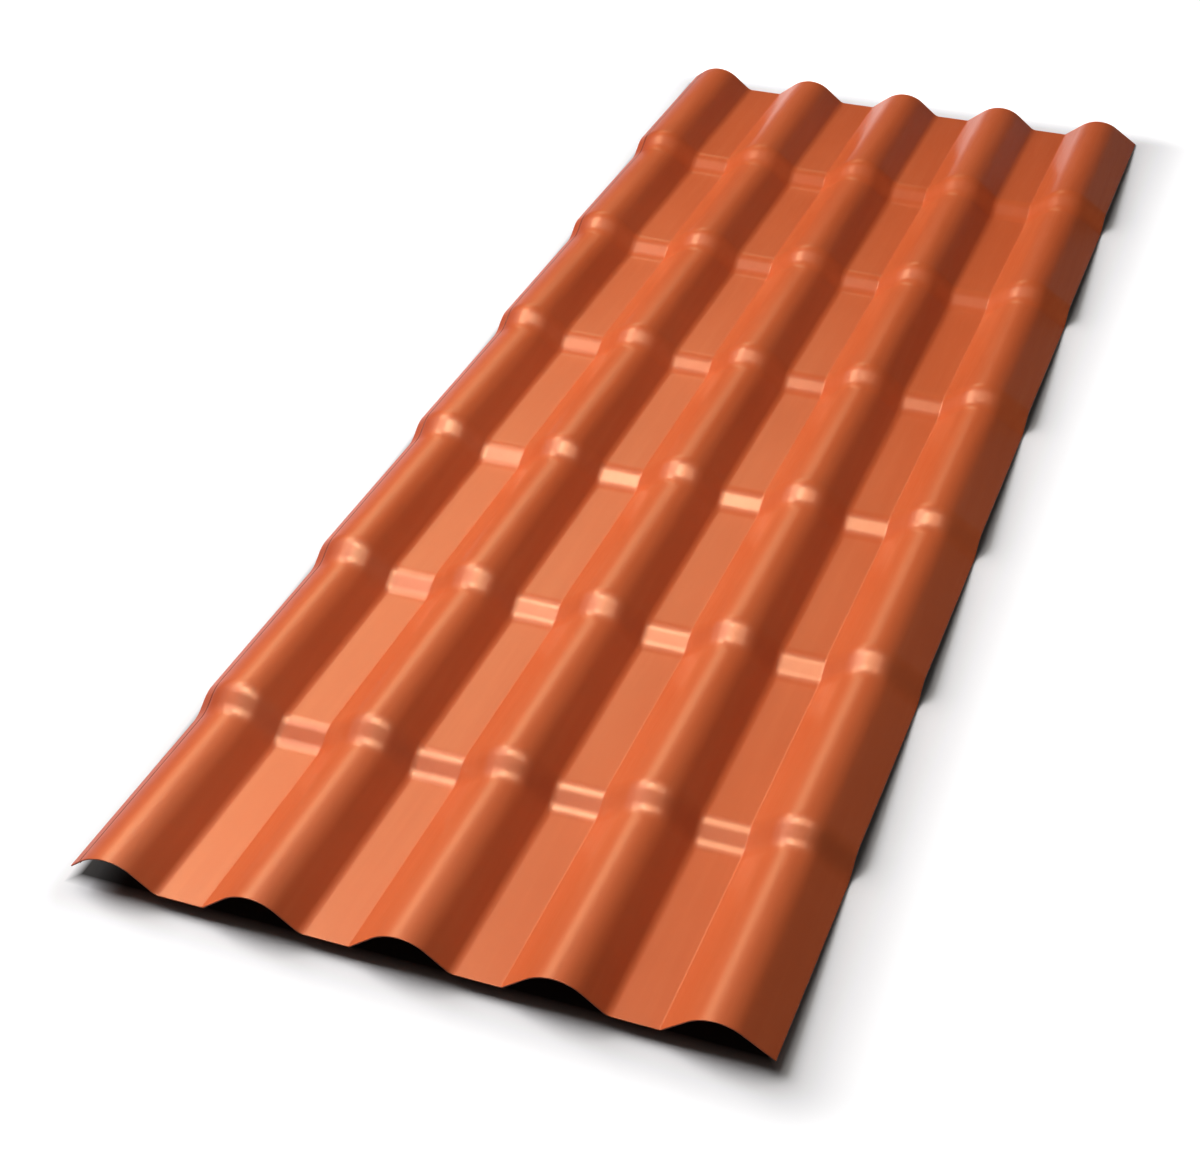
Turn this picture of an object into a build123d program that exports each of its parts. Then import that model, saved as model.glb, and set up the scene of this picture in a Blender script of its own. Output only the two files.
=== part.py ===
from build123d import *
from math import cos, radians, sin, tan
import os

# Millimetres. X runs across the rolls, Y along them from the near end to the far end, Z up.
# The sheet lies face up on the floor, so the lowest point of its underside is at zero.

# Whole sheet
sheet_w = 880.0
sheet_l = 2420.0
sheet_t = 2.0
roll_count = 5
module_count = 7

# Section across the rolls, measured on the top face
roll_h = 36.0
crown_r = 55.0
flank_deg = 39.0
left_toe_r = 5.0
right_toe_r = 18.0
left_edge_h = 12.0

# Steps along the sheet: a riser's height and run are taken at its sharp corners
riser_h = 18.5
riser_run = 32.0
crease_w = 7.0

# Each flank is the straight piece between a toe and the crown
lean = radians(flank_deg)
left_flank = (roll_h - (crown_r + left_toe_r) * (1 - cos(lean))) / sin(lean)
right_flank = (roll_h - (crown_r + right_toe_r) * (1 - cos(lean))) / sin(lean)
left_half = (crown_r + left_toe_r) * sin(lean) + left_flank * cos(lean)
right_half = (crown_r + right_toe_r) * sin(lean) + right_flank * cos(lean)

# The outer left flank is trimmed above the pans so that it laps onto the next sheet
trim_rise = left_edge_h - left_toe_r * (1 - cos(lean))
trim_x = left_toe_r * sin(lean) + trim_rise / tan(lean)
first_flank = left_flank - trim_rise / sin(lean)

# The pitch fills the sheet width, and the pans fill what the rolls leave
roll_pitch = (sheet_w + trim_x - left_half - right_half) / (roll_count - 1)
pan_w = roll_pitch - left_half - right_half
module_l = sheet_l / module_count

near_y = -sheet_l / 2
pan_top = sheet_t + riser_h


def roll(start, start_dir, flank):
    """One roll, from the foot of its left flank over the crown to its right toe; gives the end point."""
    up = Line(start, start + Vector(*start_dir) * flank)
    crown = JernArc(up @ 1, start_dir, crown_r, -2 * flank_deg)
    down = Line(crown @ 1, crown @ 1 + (crown % 1) * right_flank)
    toe = JernArc(down @ 1, down % 1, right_toe_r, flank_deg)
    return toe @ 1


# The section: its top line from the trimmed left edge to the right toe, then the wall below it
with BuildSketch(Plane.XZ.offset(-near_y)) as section:
    with BuildLine():
        climb = (cos(lean), sin(lean))
        point = roll(Vector(-sheet_w / 2, pan_top + left_edge_h), climb, first_flank)
        for i in range(1, roll_count):
            pan = Line(point, point + Vector(pan_w, 0))
            heel = JernArc(pan @ 1, pan % 1, left_toe_r, flank_deg)
            point = roll(heel @ 1, climb, left_flank)
        offset(amount=sheet_t, side=Side.RIGHT)
    make_face()

# The long profile: each module falls away gently, then a riser lifts to the next one
stops = [(near_y, pan_top)]
for i in range(1, module_count):
    riser_head = near_y + i * module_l
    stops.append((riser_head - riser_run, pan_top - riser_h))
    stops.append((riser_head, pan_top))
stops.append((near_y + sheet_l, pan_top - riser_h))

# Each crease is eased by a narrow flat, from crease_w before the corner to crease_w past it
with BuildLine(Plane.YZ) as long_profile:
    Polyline(*stops)
    chamfer(long_profile.vertices(), length=crease_w)

# The section keeps facing the near end while it follows the long profile
with BuildPart() as roof_sheet:
    sweep(
        sections=section.sketch,
        path=long_profile.line,
        normal=(0, 1, 0),
        transition=Transition.RIGHT,
    )

roof_sheet.part.label = "roof_sheet"
os.makedirs("parts", exist_ok=True)
export_step(roof_sheet.part, "parts/roof_sheet.step")
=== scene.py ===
from math import acos, asin, atan2, cos, pi, radians, sin, tan

import bpy
from mathutils import Matrix, Vector


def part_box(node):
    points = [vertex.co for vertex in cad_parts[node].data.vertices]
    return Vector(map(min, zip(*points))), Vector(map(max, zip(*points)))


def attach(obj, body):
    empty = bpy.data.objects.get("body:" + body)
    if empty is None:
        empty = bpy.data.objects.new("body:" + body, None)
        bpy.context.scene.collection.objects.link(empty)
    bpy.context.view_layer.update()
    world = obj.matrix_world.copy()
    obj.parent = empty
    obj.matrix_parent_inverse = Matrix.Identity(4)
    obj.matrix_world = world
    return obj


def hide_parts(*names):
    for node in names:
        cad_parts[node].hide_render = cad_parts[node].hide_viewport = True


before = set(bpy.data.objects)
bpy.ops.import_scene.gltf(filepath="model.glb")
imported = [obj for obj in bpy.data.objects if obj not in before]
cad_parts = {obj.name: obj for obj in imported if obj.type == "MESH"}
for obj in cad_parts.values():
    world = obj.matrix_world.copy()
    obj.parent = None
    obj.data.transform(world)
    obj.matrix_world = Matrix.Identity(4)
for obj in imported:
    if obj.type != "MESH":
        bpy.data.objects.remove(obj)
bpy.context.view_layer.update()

# Metres, in the frame of the CAD model: X across the rolls, Y along them, Z up.

# Whole sheet, with its outer sizes read from the frame
LOW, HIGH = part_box("roof_sheet")
SHEET_W = HIGH.x - LOW.x
SHEET_L = HIGH.y - LOW.y
WALL = 0.002
ROLLS = 5
MODULES = 7
EDGE_ROUND = 0.0007

# Section across the rolls, measured on the top face
ROLL_H = 0.036
CROWN_R = 0.055
FLANK = radians(39)
LEFT_TOE_R = 0.005
RIGHT_TOE_R = 0.018
LEFT_EDGE_H = 0.012
LAP_GROOVE_W = 0.0032
LAP_GROOVE_D = 0.0008

# Long profile: a riser's height and run are taken at its sharp corners
RISER_H = HIGH.z - LOW.z - WALL - ROLL_H
RISER_RUN = 0.032
CREASE_R = 0.040

# How finely the surface is divided, and how far from a joint its support points are
CROWN_CUTS = 24
LEFT_TOE_CUTS = 6
RIGHT_TOE_CUTS = 8
FLANK_CUTS = 2
PAN_CUTS = 3
CREASE_CUTS = 10
MODULE_CUTS = 4
ROUND_CUTS = 3
GROOVE_CUTS = 8
SUPPORT = 0.0008

# Camera, fitted to the photograph's edges and steps
CAMERA_AT = Vector((0.84099, -2.81583, 1.91102))
CAMERA_AIM = Vector((-0.279924, 0.750201, -0.599034))
CAMERA_ROLL = radians(-0.76)
SENSOR_MM = 36
LENS_MM = 67.31

# Terracotta PVC: linear colours, and noise scales along X, Y and Z
SKIN_DEEP = (0.60, 0.100, 0.023, 1)
SKIN_MID = (0.65, 0.117, 0.030, 1)
SKIN_PALE = (0.69, 0.140, 0.041, 1)
MOTTLE_GRAIN = (7, 3, 7)
DRAWN_GRAIN = (55, 0.7, 55)
DRAWN_SHARE = 0.4
WAVE_GRAIN = (12, 4, 12)
WAVE_H = 0.0005
FINE_GRAIN = (420, 3, 420)
FINE_H = 0.00001
SKIN_ROUGH = (0.42, 0.48)
SKIN_SPECULAR = 0.22
COAT = 0.45
COAT_ROUGH = 0.24

# The lapping strip: distances in from the left edge, where it fades out and where its painted shade line
# along the groove runs
LAP_RED = (0.48, 0.076, 0.024, 1)
LAP_GROOVE_SHADE = (0.22, 0.025, 0.008, 1)
LAP_COAT = 0.05
LAP_FADE = (0.020, 0.040)
LAP_COAT_FADE = (0.022, 0.042)
LAP_SHADE_LINE = (0.0115, 0.0125, 0.0145, 0.0155)

# The underside and cut edges
BACK_DEEP = (0.42, 0.085, 0.030, 1)
BACK_MID = (0.52, 0.120, 0.046, 1)
BACK_GRAIN = (25, 6, 25)
BACK_FINE_GRAIN = (500, 60, 500)
BACK_FINE_H = 0.00003
BACK_ROUGH = (0.50, 0.62)
BACK_SPECULAR = 0.4

# Overhead panels that are only mirrored: X and Y ranges, level and colour. The risers of steps 2 and 3
# mirror the middle ones, their crests' sides mirror the crest ones, and step 1 shows them in its creases.
PANEL_Z = 2.5
CREAM = (1.0, 0.88, 0.54)
PEACH = (1.0, 0.74, 0.46)
PINK = (1.0, 0.78, 0.66)
AMBER = (1.0, 0.86, 0.48)
OLIVE = (0.95, 1.0, 0.58)
PANELS = {
    "main": ((-1.06, -0.40), (-0.68, -0.08), 34.0, CREAM),
    "near": ((-1.06, -0.40), (-1.20, -0.68), 13.0, PEACH),
    "right": ((-0.38, 0.16), (-1.15, -0.05), 13.0, AMBER),
    "left": ((-1.50, -1.09), (-1.15, -0.15), 9.5, PINK),
    "crest_right": ((0.20, 1.00), (-1.25, -0.10), 9.0, PEACH),
    "crest_left": ((-2.30, -1.54), (-1.25, -0.10), 9.0, PEACH),
    "far_left": ((-1.33, -1.05), (0.05, 1.10), 3.4, PINK),
    "far_dots": ((-2.20, -1.35), (0.0, 1.15), 16.0, CREAM),
}

# Panels behind the far end, aimed down the sheet and only mirrored by its pans and crests:
# centre, size, the point aimed at, spread in degrees, level and colour
BACK_PANELS = {
    "back_high": (Vector((-2.8, 3.2, 3.6)), (3.2, 1.6), Vector((0, -1.3, 0)), 30, 5.0, AMBER),
    "back_low": (Vector((-1.5, 3.2, 2.2)), (2.2, 1.2), Vector((0, -0.5, 0)), 40, 2.7, OLIVE),
}

# Soft lamps that light the sheet and aren't mirrored, aimed at its middle: centre, size, level and colour
LAMPS = {
    "key": (Vector((-5.79, 0.66, 5.51)), (5.0, 5.0), 7.7, (0.96, 1.0, 1.08)),
    "top": (Vector((-0.72, -0.40, 2.5)), (1.8, 1.6), 2.9, (1.0, 1.0, 1.0)),
}

# Floor: its colour to the eye and its duller one for bounced light
FLOOR_HALF = 15.0
FLOOR_COLOUR = (0.95, 0.91, 0.87, 1)
FLOOR_BOUNCE = (0.15, 0.15, 0.15, 1)

# Painted shadow: a dark patch painted on the floor beneath the sheet, how far past its low sides it
# reaches, and how wide its rim is
FLOOR_PAINTED_SHADOW = (0.060, 0.055, 0.050, 1)
PAINTED_SHADOW_PAST = {"X": 0.016, "Y": 0.0}
PAINTED_SHADOW_RIM = {"X": 0.015, "Y": 0.02}

# Glow that whitens the floor around the sheet: its level, and its fade widths on the low and high sides.
# Where it fades in near the sheet, the floor is left darker as a painted shade halo, widest at the front
# and right.
# It rises again to full white further out, at distances counted in those widths.
FLOOR_GLOW = 0.45
GLOW_FADE = {"X": (0.08, 0.14), "Y": (0.11, 0.07)}
WHITE_FROM, WHITE_FULL = 4.0, 20.0

# Backdrop: what the sheet mirrors is pale at the horizon and nearly dark above it
WORLD_WHITE = (1, 1, 1, 1)
WORLD_AMBIENT = 0.04
HORIZON_TOP = 0.0
HIGH_FROM = 0.05
WORLD_HORIZON = 0.7
WORLD_HIGH = 0.016


def flank_run(toe_r):
    """The straight part of a flank, between the crown and a toe of this radius."""
    return (ROLL_H - (CROWN_R + toe_r) * (1 - cos(FLANK))) / sin(FLANK)


def roll_half(toe_r):
    """The distance across from a roll's crest to where a toe of this radius meets the pan."""
    return (CROWN_R + toe_r) * sin(FLANK) + flank_run(toe_r) * cos(FLANK)


def rounding():
    """The quarter rounding of a cut edge: (distance in from the edge, inset from the face)."""
    steps = [pi / 2 * i / ROUND_CUTS for i in range(ROUND_CUTS + 1)]
    return [(EDGE_ROUND * (1 - cos(a)), EDGE_ROUND * (1 - sin(a))) for a in steps]


class Pen:
    """Draws the section's top line and keeps its points, as (point, heading, rounding inset)."""

    def __init__(self, start, heading):
        self.at = start
        self.heading = heading
        self.points = []

    def ahead(self, along):
        return self.at + Vector((cos(self.heading), sin(self.heading))) * along

    def normal(self):
        return Vector((-sin(self.heading), cos(self.heading)))

    def first_edge(self):
        """The rounded cut edge that the line starts from."""
        for along, inset in rounding()[:-1]:
            self.points.append((self.ahead(along), self.heading, inset))
        self.at = self.ahead(EDGE_ROUND)

    def last_edge(self):
        """The rounded cut edge that the line ends at."""
        for along, inset in reversed(rounding()):
            self.points.append((self.ahead(EDGE_ROUND - along), self.heading, inset))

    def straight(self, run, cuts):
        """A straight run, with a point close to each end so that the shading there stays flat."""
        inner = [run * i / cuts for i in range(1, cuts)]
        for along in [0, SUPPORT] + inner + [run - SUPPORT]:
            self.points.append((self.ahead(along), self.heading, 0))
        self.at = self.ahead(run)

    def groove(self):
        """The shallow groove that the wall follows along the lapping roll."""
        for i in range(GROOVE_CUTS):
            dip = LAP_GROOVE_D * (1 - cos(2 * pi * i / GROOVE_CUTS)) / 2
            point = self.ahead(LAP_GROOVE_W * i / GROOVE_CUTS) - self.normal() * dip
            self.points.append((point, self.heading, 0))
        self.at = self.ahead(LAP_GROOVE_W)

    def arc(self, radius, turn, cuts):
        """An arc that turns by turn, anticlockwise where that is positive."""
        reach = radius if turn > 0 else -radius
        centre = self.at + self.normal() * reach
        first = self.heading
        for i in range(cuts):
            self.heading = first + turn * i / cuts
            self.points.append((centre - self.normal() * reach, self.heading, 0))
        self.heading = first + turn
        self.at = centre - self.normal() * reach


def section_points():
    """The section's top line, from the trimmed left edge over all the rolls to the right edge."""
    left_run, right_run = flank_run(LEFT_TOE_R), flank_run(RIGHT_TOE_R)
    roll_w = roll_half(LEFT_TOE_R) + roll_half(RIGHT_TOE_R)
    trim_rise = LEFT_EDGE_H - LEFT_TOE_R * (1 - cos(FLANK))
    trim_x = LEFT_TOE_R * sin(FLANK) + trim_rise / tan(FLANK)
    pan_w = (SHEET_W + trim_x - roll_w) / (ROLLS - 1) - roll_w

    pen = Pen(Vector((LOW.x, LEFT_EDGE_H)), FLANK)
    pen.first_edge()
    pen.straight(left_run - trim_rise / sin(FLANK) - EDGE_ROUND - LAP_GROOVE_W, FLANK_CUTS)
    pen.groove()
    for _ in range(ROLLS - 1):
        pen.arc(CROWN_R, -2 * FLANK, CROWN_CUTS)
        pen.straight(right_run, FLANK_CUTS)
        pen.arc(RIGHT_TOE_R, FLANK, RIGHT_TOE_CUTS)
        pen.straight(pan_w, PAN_CUTS)
        pen.arc(LEFT_TOE_R, FLANK, LEFT_TOE_CUTS)
        pen.straight(left_run, FLANK_CUTS)

    # The outer right flank runs straight from the crown to the edge, without a flat toe
    edge = Vector((HIGH.x, 0))
    reach = edge - (pen.at - pen.normal() * CROWN_R)
    tilt = pi / 2 - atan2(reach.y, reach.x) - acos(CROWN_R / reach.length)
    pen.arc(CROWN_R, -FLANK - tilt, CROWN_CUTS)
    pen.straight((edge - pen.at).length - EDGE_ROUND, FLANK_CUTS)
    pen.last_edge()
    return pen.points


def profile_corners():
    """The sharp corners of the long profile: each module falls away, then a riser lifts to the next."""
    corners = [(LOW.y, RISER_H)]
    for i in range(1, MODULES):
        head = LOW.y + i * SHEET_L / MODULES
        corners += [(head - RISER_RUN, 0), (head, RISER_H)]
    corners.append((HIGH.y, 0))
    return [Vector(c) for c in corners]


def crease_points(before, corner, after):
    """The smooth arc at one crease, and whether the profile turns up there."""
    into, out = (corner - before).normalized(), (after - corner).normalized()
    turn = asin(into.x * out.y - into.y * out.x)
    reach = CREASE_R if turn > 0 else -CREASE_R
    start = corner - into * CREASE_R * tan(abs(turn) / 2)
    centre = start + Vector((-into.y, into.x)) * reach
    turns = [Matrix.Rotation(turn * i / CREASE_CUTS, 2) for i in range(CREASE_CUTS + 1)]
    return [centre + part @ (start - centre) for part in turns], turn > 0


def profile_points():
    """The long profile of the pans' top face: (point, rounding inset)."""
    corners = profile_corners()
    fall = (corners[1] - corners[0]).normalized()
    points = [(corners[0] + fall * along, inset) for along, inset in rounding()]

    def slope_to(end):
        """A straight slope, with a point close to each end so that the shading there stays flat."""
        first = points[-1][0]
        near_end = SUPPORT / (end - first).length
        inner = [i / MODULE_CUTS for i in range(1, MODULE_CUTS)]
        points.extend((first.lerp(end, t), 0) for t in [near_end] + inner + [1 - near_end])

    for before, corner, after in zip(corners, corners[1:], corners[2:]):
        arc, turns_up = crease_points(before, corner, after)
        if turns_up:
            slope_to(arc[0])
        points.extend((point, 0) for point in arc)
    tail = [(corners[-1] - fall * along, inset) for along, inset in reversed(rounding())]
    slope_to(tail[0][0])
    return points + tail


def sheet_ring(top, station, end_inset):
    """The wall at one station of the long profile: its top line, then its underside on the way back."""
    upper, lower = [], []
    for point, heading, side_inset in top:
        normal = Vector((-sin(heading), cos(heading)))
        inset = max(end_inset, side_inset)
        over, under = point - normal * inset, point - normal * (WALL - inset)
        upper.append((over.x, station.x, station.y + over.y + WALL))
        lower.append((under.x, station.x, station.y + under.y + WALL))
    return upper + lower[::-1]


def sheet_faces(top_count, rows):
    """The faces between the rings and across both ends, with 1 for each that isn't a weather face."""
    count = 2 * top_count
    faces, back = [], []
    for row in range(rows - 1):
        a, b = row * count, (row + 1) * count
        for i in range(count):
            j = (i + 1) % count
            faces.append((a + i, a + j, b + j, b + i))
            back.append(int(i >= top_count - 1))
    last = (rows - 1) * count
    for i in range(top_count - 1):
        j = count - 1 - i
        faces.append((i, j, j - 1, i + 1))
        faces.append((last + i, last + i + 1, last + j - 1, last + j))
        back += [1, 1]
    return faces, back


def sheet_mesh():
    """The closed wall, with the skin on its weather face and the duller back elsewhere."""
    top, stations = section_points(), profile_points()
    vertices = [vertex for station, inset in stations for vertex in sheet_ring(top, station, inset)]
    faces, back = sheet_faces(len(top), len(stations))
    mesh = bpy.data.meshes.new("sheet")
    mesh.from_pydata(vertices, [], faces)
    mesh.update()
    mesh.materials.append(skin_material())
    mesh.materials.append(back_material())
    mesh.polygons.foreach_set("material_index", back)
    return mesh


class Nodes:
    """A material's or world's node tree, with short calls for the nodes that repeat."""

    def __init__(self, owner):
        owner.use_nodes = True
        self.tree = owner.node_tree
        self.tree.nodes.clear()

    def new(self, kind, **settings):
        node = self.tree.nodes.new("ShaderNode" + kind)
        for name, value in settings.items():
            setattr(node, name, value)
        return node

    def link(self, source, target):
        self.tree.links.new(source, target)

    def output(self, kind, shader):
        self.link(shader.outputs[0], self.new("Output" + kind).inputs[0])

    def math(self, operation, first, second=0):
        node = self.new("Math", operation=operation)
        for socket, value in zip(node.inputs, (first, second)):
            if isinstance(value, (int, float)):
                socket.default_value = value
            else:
                self.link(value, socket)
        return node.outputs[0]

    def spread(self, value, low, high, smooth=False):
        """Maps low..high, each (from, to), onto value."""
        node = self.new("MapRange", interpolation_type="SMOOTHSTEP" if smooth else "LINEAR")
        self.link(value, node.inputs["Value"])
        node.inputs["From Min"].default_value, node.inputs["To Min"].default_value = low
        node.inputs["From Max"].default_value, node.inputs["To Max"].default_value = high
        return node.outputs[0]

    def place(self, axis):
        """The position along one of the object's own axes, in metres."""
        axes = self.new("SeparateXYZ")
        self.link(self.new("TexCoord").outputs["Object"], axes.inputs[0])
        return axes.outputs[axis]

    def grain(self, scale, detail):
        """Noise in the object's own metres, with a scale for each axis; it stays mostly in 0.3..0.7."""
        fit = self.new("Mapping")
        fit.inputs["Scale"].default_value = scale
        noise = self.new("TexNoise")
        noise.inputs["Scale"].default_value = 1
        noise.inputs["Detail"].default_value = detail
        self.link(self.new("TexCoord").outputs["Object"], fit.inputs["Vector"])
        self.link(fit.outputs[0], noise.inputs["Vector"])
        return noise.outputs["Fac"]

    def blend(self, factor, first, second):
        node = self.new("Mix", data_type="RGBA")
        self.link(factor, node.inputs["Factor"])
        for socket, value in zip((node.inputs[6], node.inputs[7]), (first, second)):
            if isinstance(value, tuple):
                socket.default_value = value
            else:
                self.link(value, socket)
        return node.outputs[2]

    def bump(self, height, distance, under=None):
        node = self.new("Bump")
        node.inputs["Strength"].default_value = 1
        node.inputs["Distance"].default_value = distance
        self.link(height, node.inputs["Height"])
        if under is not None:
            self.link(under, node.inputs["Normal"])
        return node.outputs[0]


def skin_colour(n, inward):
    """Terracotta with a faint mottle and drawn lines, redder on the lapping strip, with a painted shade
    line along its groove.
    """
    mottle = n.spread(n.grain(MOTTLE_GRAIN, 4), (0.30, 0), (0.70, 1))
    drawn = n.spread(n.grain(DRAWN_GRAIN, 3), (0.45, 0), (0.75, DRAWN_SHARE))
    colour = n.blend(drawn, n.blend(mottle, SKIN_DEEP, SKIN_MID), SKIN_PALE)
    strip = n.spread(inward, (LAP_FADE[0], 1), (LAP_FADE[1], 0))
    # Painted shade: a dark line along the lapping roll's groove.
    shade_line_in = n.spread(inward, (LAP_SHADE_LINE[0], 0), (LAP_SHADE_LINE[1], 1))
    shade_line_out = n.spread(inward, (LAP_SHADE_LINE[2], 1), (LAP_SHADE_LINE[3], 0))
    return n.blend(n.math("MINIMUM", shade_line_in, shade_line_out), n.blend(strip, colour, LAP_RED), LAP_GROOVE_SHADE)


def skin_material():
    """The weather face: coloured-through PVC with a thin glossy skin."""
    material = bpy.data.materials.new("pvc_skin")
    n = Nodes(material)
    inward = n.math("SUBTRACT", n.place("X"), LOW.x)
    fine = n.grain(FINE_GRAIN, 2)
    waves = n.bump(n.grain(WAVE_GRAIN, 2), WAVE_H)
    coat = n.spread(inward, (LAP_COAT_FADE[0], LAP_COAT), (LAP_COAT_FADE[1], COAT), smooth=True)
    shader = n.new("BsdfPrincipled")
    n.link(skin_colour(n, inward), shader.inputs["Base Color"])
    n.link(n.spread(fine, (0.3, SKIN_ROUGH[0]), (0.7, SKIN_ROUGH[1])), shader.inputs["Roughness"])
    shader.inputs["Specular IOR Level"].default_value = SKIN_SPECULAR
    n.link(n.bump(fine, FINE_H, waves), shader.inputs["Normal"])
    n.link(coat, shader.inputs["Coat Weight"])
    shader.inputs["Coat Roughness"].default_value = COAT_ROUGH
    n.link(waves, shader.inputs["Coat Normal"])
    n.output("Material", shader)
    return material


def back_material():
    """The underside and cut edges: the same PVC, duller and without the skin."""
    material = bpy.data.materials.new("pvc_back")
    n = Nodes(material)
    mottle = n.grain(BACK_GRAIN, 5)
    colour = n.blend(n.spread(mottle, (0.35, 0), (0.65, 1)), BACK_DEEP, BACK_MID)
    shader = n.new("BsdfPrincipled")
    n.link(colour, shader.inputs["Base Color"])
    n.link(n.spread(mottle, (0.3, BACK_ROUGH[0]), (0.7, BACK_ROUGH[1])), shader.inputs["Roughness"])
    shader.inputs["Specular IOR Level"].default_value = BACK_SPECULAR
    n.link(n.bump(n.grain(BACK_FINE_GRAIN, 2), BACK_FINE_H), shader.inputs["Normal"])
    n.output("Material", shader)
    return material


def make_sheet():
    piece = bpy.data.objects.new("pvc_sheet", sheet_mesh())
    bpy.context.scene.collection.objects.link(piece)
    piece.data.shade_smooth()
    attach(piece, "root")
    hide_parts("roof_sheet")


def seen_ray(n):
    """1 for the rays that show the surroundings: straight from the camera, mirrored or through glass."""
    path = n.new("LightPath")
    direct = n.math("MAXIMUM", path.outputs["Is Camera Ray"], path.outputs["Is Glossy Ray"])
    return n.math("MAXIMUM", direct, path.outputs["Is Transmission Ray"])


def floor_distances(n):
    """The distances out from the painted shadow patch, in rim widths, and out from the sheet, in fade
    widths.
    """
    from_painted_shadow, squares = [], []
    for axis, half in (("X", SHEET_W / 2), ("Y", SHEET_L / 2)):
        low_side = n.math("SUBTRACT", n.math("MULTIPLY", n.place(axis), -1), half)
        high_side = n.math("SUBTRACT", n.place(axis), half)
        past = n.math("MAXIMUM", n.math("SUBTRACT", low_side, PAINTED_SHADOW_PAST[axis]), high_side)
        from_painted_shadow.append(n.math("DIVIDE", past, PAINTED_SHADOW_RIM[axis]))
        fades = [n.math("DIVIDE", side, fade) for side, fade in zip((low_side, high_side), GLOW_FADE[axis])]
        squares.append(n.math("POWER", n.math("MAXIMUM", n.math("MAXIMUM", *fades), 0), 2))
    return n.math("MAXIMUM", *from_painted_shadow), n.math("SQRT", n.math("ADD", *squares))


def floor_material():
    """Pale floor with the sheet's cast shadow, a painted shadow patch beneath the sheet and a glow away
    from it, and clear from below.
    """
    material = bpy.data.materials.new("floor")
    n = Nodes(material)
    from_painted_shadow, from_sheet = floor_distances(n)

    # Painted shadow: the floor's own colour turns dark beneath the sheet and a little past its left side.
    shown = n.blend(n.spread(from_painted_shadow, (-1, 0), (0, 1)), FLOOR_PAINTED_SHADOW, FLOOR_COLOUR)
    diffuse = n.new("BsdfDiffuse")
    n.link(n.blend(seen_ray(n), FLOOR_BOUNCE, shown), diffuse.inputs["Color"])

    # Glow on the floor, with a painted shade halo where it fades in near the sheet.
    near_glow = n.spread(from_sheet, (0, 0), (1, FLOOR_GLOW), smooth=True)
    level = n.math("MAXIMUM", near_glow, n.spread(from_sheet, (WHITE_FROM, 0), (WHITE_FULL, 1)))
    glow = n.new("Emission")
    n.link(n.math("MULTIPLY", level, seen_ray(n)), glow.inputs["Strength"])

    both = n.new("AddShader")
    n.link(diffuse.outputs[0], both.inputs[0])
    n.link(glow.outputs[0], both.inputs[1])
    pick = n.new("MixShader")
    n.link(n.new("NewGeometry").outputs["Backfacing"], pick.inputs[0])
    n.link(both.outputs[0], pick.inputs[1])
    n.link(n.new("BsdfTransparent").outputs[0], pick.inputs[2])
    n.output("Material", pick)
    return material


def make_floor():
    mesh = bpy.data.meshes.new("floor")
    signs = ((-1, -1), (1, -1), (1, 1), (-1, 1))
    corners = [(x * FLOOR_HALF, y * FLOOR_HALF, LOW.z) for x, y in signs]
    mesh.from_pydata(corners, [], [(0, 1, 2, 3)])
    mesh.materials.append(floor_material())
    floor = bpy.data.objects.new("floor", mesh)
    bpy.context.scene.collection.objects.link(floor)


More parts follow.
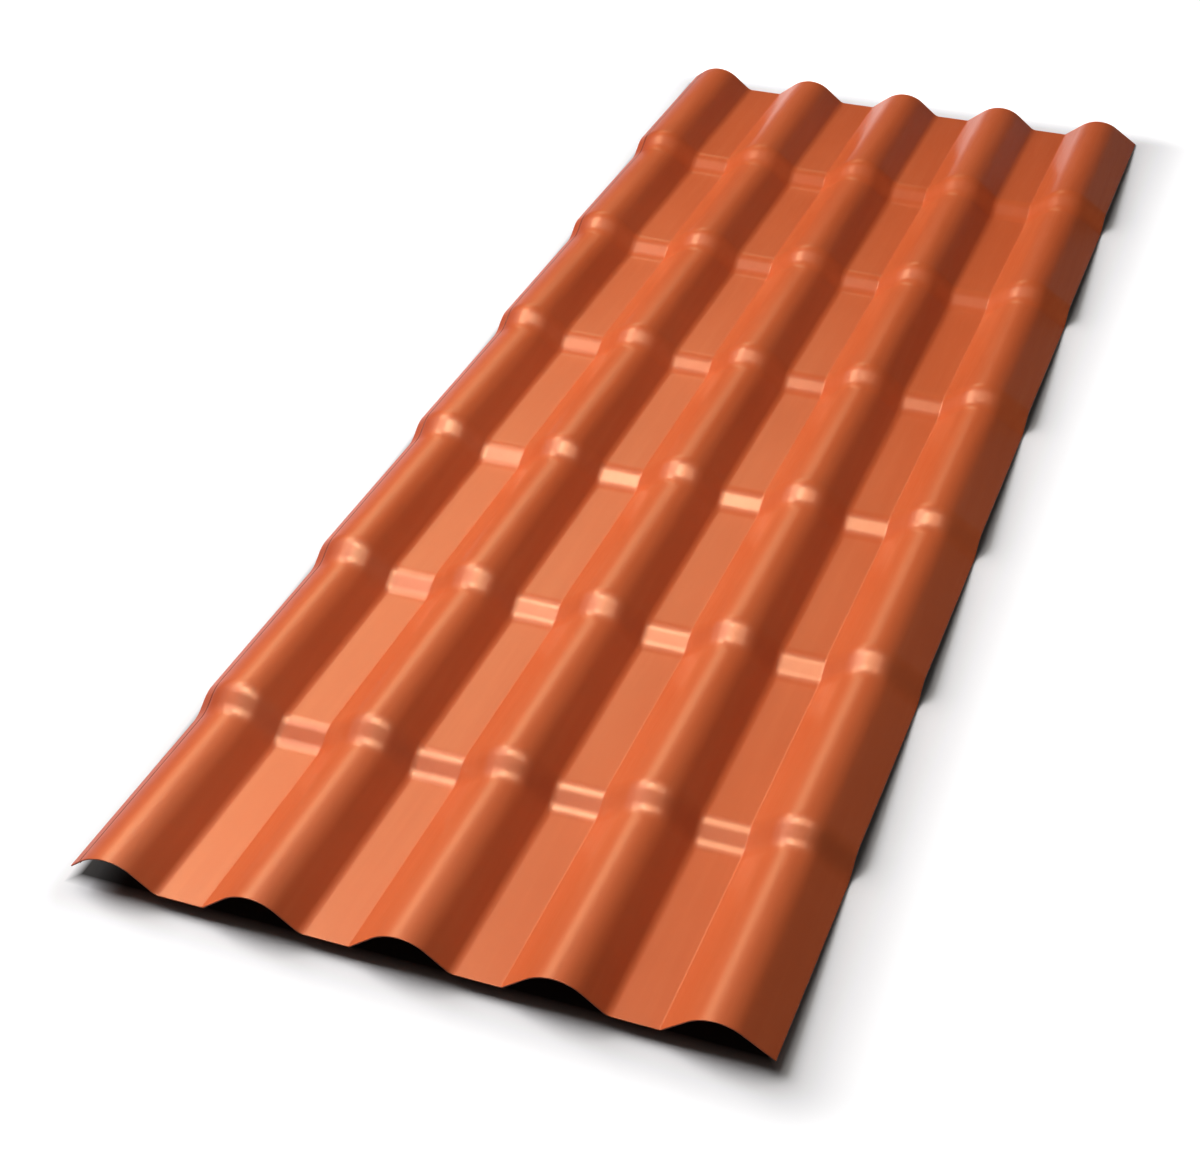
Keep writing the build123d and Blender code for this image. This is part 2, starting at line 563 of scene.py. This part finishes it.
def make_world():
    """White for the rays that show it, with a dark upper part in mirrored rays, and a low ambient light."""
    world = bpy.data.worlds.new("studio")
    bpy.context.scene.world = world
    n = Nodes(world)
    path = n.new("LightPath")
    axes = n.new("SeparateXYZ")
    n.link(n.new("TexCoord").outputs["Generated"], axes.inputs[0])
    by_height = (HORIZON_TOP, WORLD_HORIZON), (HIGH_FROM, WORLD_HIGH)
    mirrored = n.spread(axes.outputs["Z"], *by_height, smooth=True)
    mirrored = n.math("MULTIPLY", mirrored, path.outputs["Is Glossy Ray"])
    direct = n.math("MAXIMUM", path.outputs["Is Camera Ray"], path.outputs["Is Transmission Ray"])
    shown = n.math("MAXIMUM", direct, mirrored)
    background = n.new("Background")
    background.inputs["Color"].default_value = WORLD_WHITE
    n.link(n.math("MAXIMUM", shown, WORLD_AMBIENT), background.inputs["Strength"])
    n.output("World", background)


def add_panel(name, at, aim, size, level, colour, spread=180):
    """A soft panel turned to face aim, which from there looks level times as bright as plain white."""
    data = bpy.data.lights.new(name, "AREA")
    data.shape = "RECTANGLE"
    data.size, data.size_y = size
    data.spread = radians(spread)
    data.energy = level * pi * size[0] * size[1]
    if spread < 180:
        half = radians(spread / 2)
        data.energy *= 1 - half / tan(half)
    data.color = colour
    panel = bpy.data.objects.new(name, data)
    panel.location = at
    panel.rotation_mode = "QUATERNION"
    panel.rotation_quaternion = (at - aim).to_track_quat("Z", "Y")
    panel.visible_camera = False
    bpy.context.scene.collection.objects.link(panel)
    return panel


def make_lights():
    middle = Vector((0, 0, 0))
    for name, (at, size, level, colour) in LAMPS.items():
        add_panel(name, at, middle, size, level, colour).visible_glossy = False
    for name, (across, along, level, colour) in PANELS.items():
        at = Vector((sum(across) / 2, sum(along) / 2, PANEL_Z))
        below = Vector((at.x, at.y, 0))
        size = (across[1] - across[0], along[1] - along[0])
        add_panel(name, at, below, size, level, colour).visible_diffuse = False
    for name, (at, size, aim, spread, level, colour) in BACK_PANELS.items():
        add_panel(name, at, aim, size, level, colour, spread).visible_diffuse = False


def make_camera():
    data = bpy.data.cameras.new("camera")
    data.sensor_fit = "HORIZONTAL"
    data.sensor_width = SENSOR_MM
    data.lens = LENS_MM
    camera = bpy.data.objects.new("camera", data)
    camera.location = CAMERA_AT
    aim = CAMERA_AIM.to_track_quat("-Z", "Y").to_matrix()
    camera.rotation_mode = "QUATERNION"
    camera.rotation_quaternion = (aim @ Matrix.Rotation(CAMERA_ROLL, 3, "Z")).to_quaternion()
    bpy.context.scene.collection.objects.link(camera)
    bpy.context.scene.camera = camera


bpy.context.scene.view_settings.view_transform = "Standard"
make_sheet()
make_floor()
make_world()
make_lights()
make_camera()
